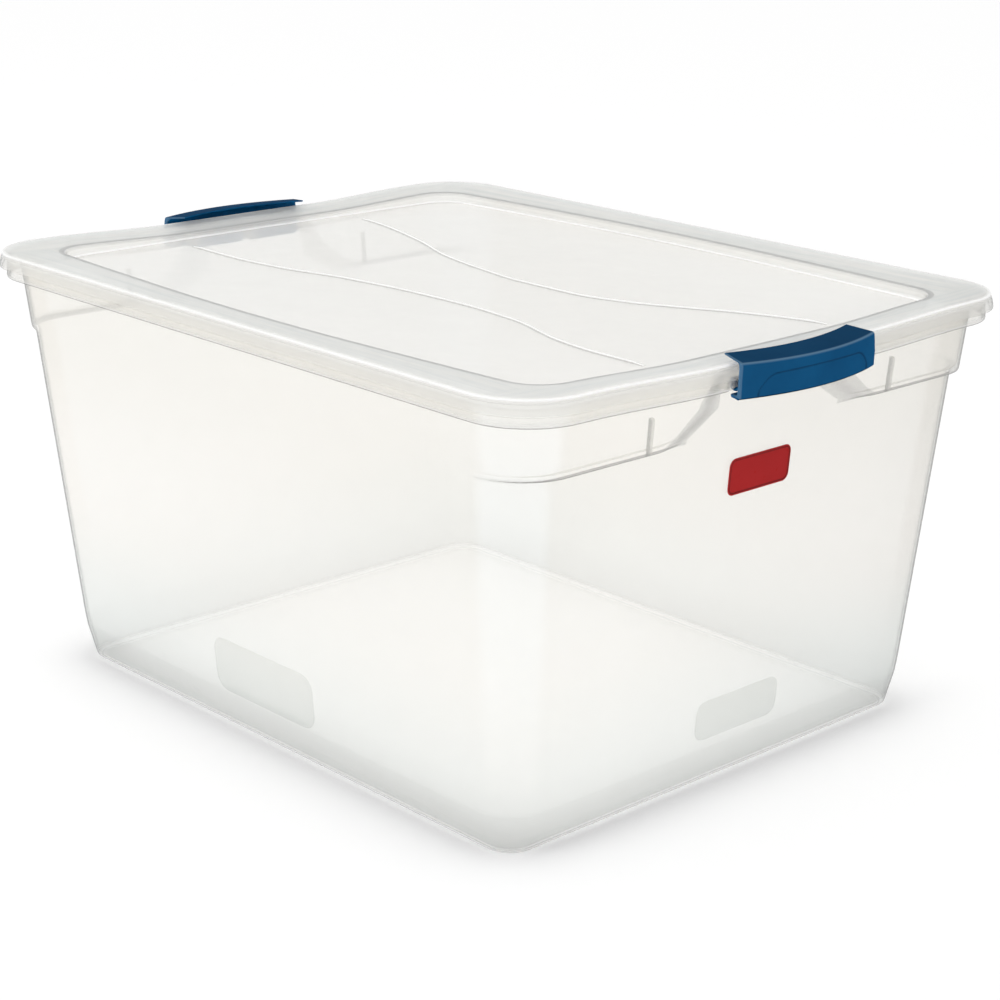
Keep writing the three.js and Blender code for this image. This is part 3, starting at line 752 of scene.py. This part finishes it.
# ------------------------------------------------------------------ materials
class Tree:
    """Short names for building a node tree."""

    def __init__(self, name):
        self.mat = bpy.data.materials.new(name)
        self.mat.use_nodes = True
        self.t = self.mat.node_tree
        self.t.nodes.clear()
        self.out = self.t.nodes.new("ShaderNodeOutputMaterial")

    def node(self, kind, **inputs):
        n = self.t.nodes.new(kind)
        for key, value in inputs.items():
            self.feed(n.inputs[key.replace("_", " ")], value)
        return n

    def feed(self, socket, value):
        if isinstance(value, bpy.types.NodeSocket):
            self.t.links.new(value, socket)
        elif value is not None:
            if hasattr(socket.default_value, "__len__") and not hasattr(value, "__len__"):
                value = [value] * len(socket.default_value)
            if hasattr(value, "__len__") and len(value) == 3 and len(socket.default_value) == 4:
                value = (*value, 1)
            socket.default_value = value

    def math(self, op, a, b=None, c=None, clamp=False):
        n = self.t.nodes.new("ShaderNodeMath")
        n.operation = op
        n.use_clamp = clamp
        for i, v in enumerate((a, b, c)):
            if v is not None:
                self.feed(n.inputs[i], v)
        return n.outputs[0]

    def span(self, v, a, b, lo=0.0, hi=1.0, soft=False):
        n = self.t.nodes.new("ShaderNodeMapRange")
        n.interpolation_type = "SMOOTHSTEP" if soft else "LINEAR"
        self.feed(n.inputs[0], v)
        for i, x in enumerate((a, b, lo, hi)):
            self.feed(n.inputs[i + 1], x)
        return n.outputs[0]

    def colour(self, fac, a, b, mode="MIX"):
        n = self.t.nodes.new("ShaderNodeMix")
        n.data_type = "RGBA"
        n.blend_type = mode
        self.feed(n.inputs[0], fac)
        self.feed(n.inputs[6], a)
        self.feed(n.inputs[7], b)
        return n.outputs[2]

    def where(self):
        if not hasattr(self, "_where"):
            self._where = self.t.nodes.new("ShaderNodeTexCoord").outputs["Object"]
        return self._where

    def mapped(self, scale, turn=(0, 0, 0)):
        n = self.t.nodes.new("ShaderNodeMapping")
        self.feed(n.inputs["Vector"], self.where())
        n.inputs["Scale"].default_value = scale
        n.inputs["Rotation"].default_value = turn
        return n.outputs[0]

    def noise(self, scale, detail=2.0, rough=.5, vector=None, distortion=0.0):
        n = self.t.nodes.new("ShaderNodeTexNoise")
        self.feed(n.inputs["Vector"], vector if vector is not None else self.where())
        n.inputs["Scale"].default_value = scale
        n.inputs["Detail"].default_value = detail
        n.inputs["Roughness"].default_value = rough
        n.inputs["Distortion"].default_value = distortion
        return n.outputs[0]

    def attribute(self, name):
        n = self.t.nodes.new("ShaderNodeAttribute")
        n.attribute_name = name
        return n.outputs["Fac"]

    def across(self, axis):
        n = self.t.nodes.new("ShaderNodeSeparateXYZ")
        self.feed(n.inputs[0], self.where())
        return n.outputs[axis]

    def height(self):
        return self.across(2)

    def normal_z(self):
        n = self.t.nodes.new("ShaderNodeSeparateXYZ")
        self.feed(n.inputs[0], self.t.nodes.new("ShaderNodeTexCoord").outputs["Normal"])
        return n.outputs[2]

    def bump(self, height, strength, distance, normal=None):
        n = self.t.nodes.new("ShaderNodeBump")
        self.feed(n.inputs["Height"], height)
        n.inputs["Strength"].default_value = strength
        n.inputs["Distance"].default_value = distance
        if normal is not None:
            self.feed(n.inputs["Normal"], normal)
        return n.outputs[0]

    def facing(self):
        n = self.t.nodes.new("ShaderNodeLayerWeight")
        n.inputs["Blend"].default_value = .5
        return n.outputs["Facing"]

    def mix_shader(self, fac, a, b):
        n = self.t.nodes.new("ShaderNodeMixShader")
        self.feed(n.inputs[0], fac)
        self.t.links.new(a, n.inputs[1])
        self.t.links.new(b, n.inputs[2])
        return n.outputs[0]

    def done(self, shader):
        self.t.links.new(shader, self.out.inputs["Surface"])
        return self.mat


def clear_plastic(name, warm, pale, cool, milk, milk_colour, z0, z1, floor_tint=None):
    """Natural polypropylene: see-through with a milky scatter, greyer where it is thick or seen at a glancing angle; it
    carries painted highlight and shade lines, and painted shade near the foot, across the +X end and in the cooler tint
    low down.
    """
    t = Tree(name)
    line, haze, skin = t.attribute("line"), t.attribute("haze"), t.attribute("skin")
    # this attribute greys and clouds thick plastic and, near the foot, paints shade for the contact shadow seen through
    # the front walls; it is weaker on back faces
    behind = t.t.nodes.new("ShaderNodeNewGeometry").outputs["Backfacing"]
    edge = t.math("MULTIPLY", t.attribute("edge"), t.math("MULTIPLY_ADD", behind, -.65, 1.0))
    facing = t.facing()
    flow = t.noise(6.5, 3, .55, distortion=.6)
    cloud = t.noise(38, 3, .6)
    grain = t.noise(620, 2, .6)
    scuff_a = t.span(t.noise(1, 3, .7, t.mapped((26, 330, 130), (.2, .1, .5))), .67, .74)
    scuff_b = t.span(t.noise(1, 3, .7, t.mapped((300, 34, 210), (.4, .3, -.3))), .68, .75)
    scuff = t.math("MAXIMUM", scuff_a, scuff_b)
    # positive values of the line attribute are painted highlight lines, negative ones painted shade lines, the shade
    # weaker on back faces
    painted_highlight = t.math("MAXIMUM", line, 0.0)
    painted_shade = t.math("MULTIPLY", t.math("MAXIMUM", t.math("MULTIPLY", line, -1.0), 0.0), t.math("MULTIPLY_ADD", behind, -.6, 1.0))
    z = t.height()
    upright = t.math("SUBTRACT", 1.0, t.math("ABSOLUTE", t.normal_z()))
    graze = t.math("MULTIPLY", t.math("MULTIPLY", t.span(facing, .58, .90, soft=True), upright), t.math("MULTIPLY_ADD", skin, .8, .2))
    square = t.math("MULTIPLY", t.span(facing, .16, .34, 1.0, 0.0, soft=True), t.span(z, .03, .12))
    # tint runs cool at the bottom, pale in the middle and warm at the top; the cooler bottom is painted shade for the
    # shadowed floor seen through
    tint = t.colour(t.span(z, z0, z1, soft=True), cool, pale)
    tint = t.colour(t.span(z, .15, .27, soft=True), tint, warm)
    # painted shade: the +X end darkens towards +Y
    plus_x_end_shade = t.math("MULTIPLY", t.span(t.across(0), .20, .26), t.span(t.across(1), -.12, .26))
    tint = t.colour(plus_x_end_shade, tint, t.colour(1.0, tint, (.93, .93, .93), "MULTIPLY"))
    if floor_tint:
        tint = t.colour(t.span(z, .0026, .0055, soft=True), floor_tint, tint)
    tint = t.colour(t.math("MULTIPLY", square, .8), tint, (1, 1, .995))
    # darker tint where the plastic is thick or painted shade is marked, where it is seen at a glancing angle, and along
    # painted shade lines
    tint = t.colour(edge, tint, t.colour(1.0, tint, (.80, .805, .805), "MULTIPLY"))
    tint = t.colour(graze, tint, t.colour(1.0, tint, (.52, .53, .53), "MULTIPLY"))
    tint = t.colour(painted_shade, tint, t.colour(1.0, tint, (.50, .50, .51), "MULTIPLY"))
    clear = t.node("ShaderNodeBsdfTransparent", Color=tint)
    amount = t.math("ADD", milk, t.math("MULTIPLY", edge, .10))
    amount = t.math("ADD", amount, haze)
    amount = t.math("ADD", amount, t.math("MULTIPLY", t.math("POWER", facing, 2.5), .06))
    amount = t.math("ADD", amount, t.math("MULTIPLY", t.math("SUBTRACT", flow, .5), .05))
    amount = t.math("ADD", amount, t.math("MULTIPLY", t.math("SUBTRACT", cloud, .5), .025))
    amount = t.math("ADD", amount, t.math("MULTIPLY", scuff, .012))
    # painted highlight lines add milky whiteness
    amount = t.math("ADD", amount, t.math("MULTIPLY", painted_highlight, .55))
    amount = t.math("ADD", amount, t.math("MULTIPLY", painted_shade, .08), clamp=True)
    normal = t.bump(grain, .03, .0001, t.bump(cloud, .10, .0008, t.bump(flow, .35, .006)))
    body = t.colour(edge, milk_colour, tuple(c * .90 for c in milk_colour))
    streak = t.span(t.noise(1, 4, .65, t.mapped((9, 120, 120)), .3), .38, .66)
    streak_end = t.span(t.noise(1, 4, .65, t.mapped((120, 9, 120)), .3), .38, .66)
    streak = t.colour(t.span(t.math("ABSOLUTE", t.across(0)), .252, .262), streak, streak_end)
    rim = t.attribute("rim")
    body = t.colour(t.math("MULTIPLY", rim, t.math("MULTIPLY_ADD", streak, .75, .25)), body, t.colour(1.0, body, (.84, .885, .90), "MULTIPLY"))
    body = t.colour(graze, body, t.colour(1.0, body, (.72, .72, .72), "MULTIPLY"))
    # painted highlight lines turn the scatter white, painted shade lines grey
    body = t.colour(painted_highlight, body, (1, 1, 1))
    body = t.colour(painted_shade, body, (.55, .55, .54))
    diffuse = t.node("ShaderNodeBsdfDiffuse", Color=body, Roughness=.5, Normal=normal)
    through = t.node("ShaderNodeBsdfTranslucent", Color=body, Normal=normal)
    milky = t.mix_shader(.5, diffuse.outputs[0], through.outputs[0])
    base = t.mix_shader(amount, clear.outputs[0], milky)
    rough = t.math("ADD", .14, t.math("ADD", t.math("MULTIPLY", cloud, .10), t.math("MULTIPLY", scuff, .06)))
    gloss = t.node("ShaderNodeBsdfGlossy", Color=(1, 1, 1), Roughness=rough, Normal=normal)
    fresnel = t.math("MULTIPLY_ADD", t.math("POWER", facing, 6.0), .30, .03)
    seen = t.mix_shader(fresnel, base, gloss.outputs[0])
    # light on its way through takes the same plastic without its fine pattern; the foot holds back more of it
    foot = t.span(z, .018, .040, 1.0, 0.0, soft=True)
    foot = t.math("MULTIPLY", foot, t.span(z, .0024, .0034, soft=True))
    front = t.math("MAXIMUM", t.span(t.across(1), -.17, -.20), t.span(t.across(0), .22, .245))
    foot = t.math("MULTIPLY", foot, t.math("MULTIPLY_ADD", front, .8, .2))
    plain_tint = t.colour(foot, (.997, .997, .994), (.40, .40, .40))
    plain_clear = t.node("ShaderNodeBsdfTransparent", Color=plain_tint)
    plain_diffuse = t.node("ShaderNodeBsdfDiffuse", Color=milk_colour)
    plain_through = t.node("ShaderNodeBsdfTranslucent", Color=milk_colour)
    plain_amount = t.math("MULTIPLY_ADD", edge, .04, milk * .08)
    plain = t.mix_shader(plain_amount, plain_clear.outputs[0], t.mix_shader(.5, plain_diffuse.outputs[0], plain_through.outputs[0]))
    path = t.t.nodes.new("ShaderNodeLightPath")
    passing = t.math("MAXIMUM", path.outputs["Is Shadow Ray"], path.outputs["Is Diffuse Ray"])
    return t.done(t.mix_shader(passing, seen, plain))


def moulded(name, base, deep, rough, grain_scale=1400, grain_strength=.16):
    """Opaque moulded polypropylene with a fine mould grain, faint flow shading, painted highlights on sharp edges and
    hairline marks.
    """
    t = Tree(name)
    flow = t.noise(28, 3, .55, distortion=.5)
    cloud = t.noise(130, 3, .6)
    grain = t.noise(grain_scale, 2, .65)
    marks = t.span(t.noise(1, 4, .7, t.mapped((90, 1500, 700), (.1, .5, .25))), .69, .74)
    point = t.t.nodes.new("ShaderNodeNewGeometry").outputs["Pointiness"]
    # painted highlight where edges are sharp and convex
    painted_edge_highlight = t.span(point, .53, .60, soft=True)
    col = t.colour(t.span(flow, .3, .7), deep, base)
    col = t.colour(t.math("MULTIPLY", cloud, .22), col, tuple(min(1, c * 1.25 + .004) for c in base))
    col = t.colour(t.math("MULTIPLY", painted_edge_highlight, .30), col, tuple(min(1, c * 1.5 + .04) for c in base))
    col = t.colour(t.math("MULTIPLY", marks, .22), col, tuple(min(1, c * 1.4 + .05) for c in base))
    r = t.math("ADD", rough, t.math("MULTIPLY", t.math("SUBTRACT", cloud, .5), .16))
    r = t.math("ADD", r, t.math("MULTIPLY", marks, .12))
    normal = t.bump(grain, grain_strength, .00012, t.bump(cloud, .12, .0004))
    return t, col, r, normal


def satin(t, col, r, normal, sheen, painted_ridge_highlight=None, pale=None):
    """A matt body under a thin, weak gloss that only strengthens a little at a glancing angle, with painted shade on
    faces that point up and an optional painted highlight line.
    """
    # painted shade: faces that point up are darker
    top = t.span(t.normal_z(), .25, .85, soft=True)
    col = t.colour(top, col, t.colour(1.0, col, (.42, .52, .52), "MULTIPLY"))
    # painted highlight along the ridge in a pale colour
    if painted_ridge_highlight is not None:
        col = t.colour(t.math("MULTIPLY", painted_ridge_highlight, .7), col, pale)
    d = t.node("ShaderNodeBsdfDiffuse", Color=col, Roughness=.4, Normal=normal)
    g = t.node("ShaderNodeBsdfGlossy", Color=(1, 1, 1), Roughness=r, Normal=normal)
    fac = t.math("MULTIPLY_ADD", t.math("POWER", t.facing(), 8.0), .03, sheen)
    return t.done(t.mix_shader(fac, d.outputs[0], g.outputs[0]))


def latch_plastic():
    t, col, r, normal = moulded("latch_blue_plastic", (.003, .078, .198), (.002, .062, .165), .34)
    # painted shade line along the border of the pressed panel, and a pale painted highlight along the ridge and side
    # edges
    painted_shade = t.colour(t.math("MULTIPLY", t.attribute("edge"), .75), col, (.001, .022, .06))
    return satin(t, painted_shade, r, normal, .005, t.attribute("line"), (.16, .29, .42))


def simple_plastic(name, base, deep, rough, **k):
    t, col, r, normal = moulded(name, base, deep, rough, **k)
    return satin(t, col, r, normal, .014)


TUB_MAT = clear_plastic("clear_tub_plastic", (.962, .953, .935), (.985, .977, .965), (.958, .965, .960), .085, (.97, .97, .955), .03, .14, (.998, .998, .994))
LID_MAT = clear_plastic("clear_lid_plastic", (.972, .967, .957), (.972, .967, .957), (.972, .967, .957), .32, (.89, .882, .862), .0, .1)
LATCH_MAT = latch_plastic()
BADGE_MAT = simple_plastic("badge_red_plastic", (.40, .012, .013), (.36, .010, .011), .30, grain_scale=900, grain_strength=.08)
BORDER_MAT = simple_plastic("badge_dark_red_plastic", (.20, .008, .009), (.17, .007, .008), .28, grain_scale=900, grain_strength=.08)


def finish_piece(body, name, mat, ride_on, stands_for=None, sharp=38, turn=False):
    ob = body.build(name, sharp)
    if turn:
        ob.data.transform(Matrix.Rotation(math.pi, 4, "Z"))
    ob.data.materials.append(mat)
    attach(ob, ride_on)
    if stands_for:
        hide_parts(stands_for)
    return ob


tub = Body()
make_tub(tub)
make_tub_ribs(tub)
finish_piece(tub, "tub_shell", TUB_MAT, "tub", "tub", 50)
pads = Body()
make_pads(pads)
finish_piece(pads, "tub_blank_pads", TUB_MAT, "tub", None, 50)

lid = Body()
make_lid(lid)
finish_piece(lid, "lid_shell", LID_MAT, "lid", "lid", 50)
ribs = Body()
make_lid_ribs(ribs)
finish_piece(ribs, "lid_wavy_ribs", LID_MAT, "lid", None, 60)

for which, turn in (("near", False), ("far", True)):
    latch = Body()
    make_latch(latch)
    make_hooks(latch)
    finish_piece(latch, "latch_" + which + "_handle", LATCH_MAT, "latch_" + which, "latch_" + which, 42, turn)

badge, border = Body(), Body()
make_badge(badge, border)
finish_piece(badge, "badge_plate", BADGE_MAT, "tub", "badge", 40)
finish_piece(border, "badge_border", BORDER_MAT, "tub", None, 40)


# ------------------------------------------------------------------ studio
def floor_plane():
    me = bpy.data.meshes.new("studio_floor")
    s = 40.0
    me.from_pydata([(-s, -s, 0), (s, -s, 0), (s, s, 0), (-s, s, 0)], [], [(0, 1, 2, 3)])
    ob = bpy.data.objects.new("studio_floor", me)
    SCN.collection.objects.link(ob)
    ob.location.z = -.0005
    t = Tree("studio_floor_white")
    path = t.t.nodes.new("ShaderNodeLightPath")
    shade = t.colour(path.outputs["Is Glossy Ray"], (.90, .90, .90), (.80, .80, .80))
    d = t.node("ShaderNodeBsdfDiffuse", Color=shade, Roughness=.3)
    lift = t.node("ShaderNodeEmission", Color=shade, Strength=.12)
    add = t.node("ShaderNodeAddShader")
    t.t.links.new(d.outputs[0], add.inputs[0])
    t.t.links.new(lift.outputs[0], add.inputs[1])
    me.materials.append(t.done(add.outputs[0]))


def soft_light(name, where, size, power, aim=(0, 0, .15)):
    l = bpy.data.lights.new(name, "AREA")
    l.shape = "RECTANGLE"
    l.size, l.size_y = size
    l.energy = power
    ob = bpy.data.objects.new(name, l)
    SCN.collection.objects.link(ob)
    ob.location = where
    ob.rotation_mode = "QUATERNION"
    ob.rotation_quaternion = (Vector(aim) - Vector(where)).to_track_quat("-Z", "Y")
    return ob


floor_plane()
world = bpy.data.worlds.new("studio_world")
SCN.world = world
world.use_nodes = True
wt = world.node_tree
wt.nodes.clear()
w_out = wt.nodes.new("ShaderNodeOutputWorld")
w_path = wt.nodes.new("ShaderNodeLightPath")
w_lit = wt.nodes.new("ShaderNodeBackground")
w_lit.inputs["Color"].default_value = (1, 1, 1, 1)
w_lit.inputs["Strength"].default_value = .97
w_dim = wt.nodes.new("ShaderNodeBackground")
w_dim.inputs["Color"].default_value = (.93, .97, 1, 1)
w_dim.inputs["Strength"].default_value = .85
w_mix = wt.nodes.new("ShaderNodeMixShader")
wt.links.new(w_path.outputs["Is Glossy Ray"], w_mix.inputs[0])
wt.links.new(w_lit.outputs[0], w_mix.inputs[1])
wt.links.new(w_dim.outputs[0], w_mix.inputs[2])
wt.links.new(w_mix.outputs[0], w_out.inputs["Surface"])
over = soft_light("overhead", (-.7, .75, 2.6), (3.0, 3.0), 40)
over.visible_diffuse = False
key = soft_light("key_left", (-1.0, -3.4, 1.6), (1.8, 1.8), 22)
key.visible_glossy = False

cam_data = bpy.data.cameras.new("photo_camera")
cam = bpy.data.objects.new("photo_camera", cam_data)
SCN.collection.objects.link(cam)
EYE = (1.1416649155, -1.0365941903, .6248115063)
AXES = ((.6882625729, .7253373188, .0134314849), (-.3663808993, .3315548161, .8693885441), (.6261466820, -.6032886357, .4939465098))
cam.matrix_world = Matrix([[AXES[0][k], AXES[1][k], AXES[2][k], EYE[k]] for k in range(3)] + [[0, 0, 0, 1]])
cam_data.sensor_width = 36
cam_data.lens = 75.102
cam_data.clip_start, cam_data.clip_end = .05, 200
SCN.camera = cam


eye_mark = bpy.data.objects.new("photo_viewpoint", None)
SCN.collection.objects.link(eye_mark)
eye_mark.location = EYE


def shift_at_eye(prop, value):
    """The lens shift belongs to the photo's viewpoint only: it drops to nothing when the camera is moved elsewhere."""
    fc = cam_data.driver_add(prop)
    d = fc.driver
    d.type = "AVERAGE"
    v = d.variables.new()
    v.type = "LOC_DIFF"
    v.targets[0].id = cam
    v.targets[1].id = eye_mark
    for m in list(fc.modifiers):
        fc.modifiers.remove(m)
    while len(fc.keyframe_points):
        fc.keyframe_points.remove(fc.keyframe_points[0])
    for x, y in ((-.04, value), (.02, value), (.06, 0), (100, 0)):
        k = fc.keyframe_points.insert(x, y)
        k.interpolation = "LINEAR"
    fc.extrapolation = "CONSTANT"


shift_at_eye("shift_x", -.0367881)
shift_at_eye("shift_y", .4515784)

SCN.view_settings.view_transform = "Standard"
SCN.view_settings.look = "None"
SCN.cycles.transparent_max_bounces = 40
SCN.cycles.max_bounces = 6
SCN.cycles.diffuse_bounces = 3
SCN.cycles.glossy_bounces = 3
SCN.cycles.transmission_bounces = 3
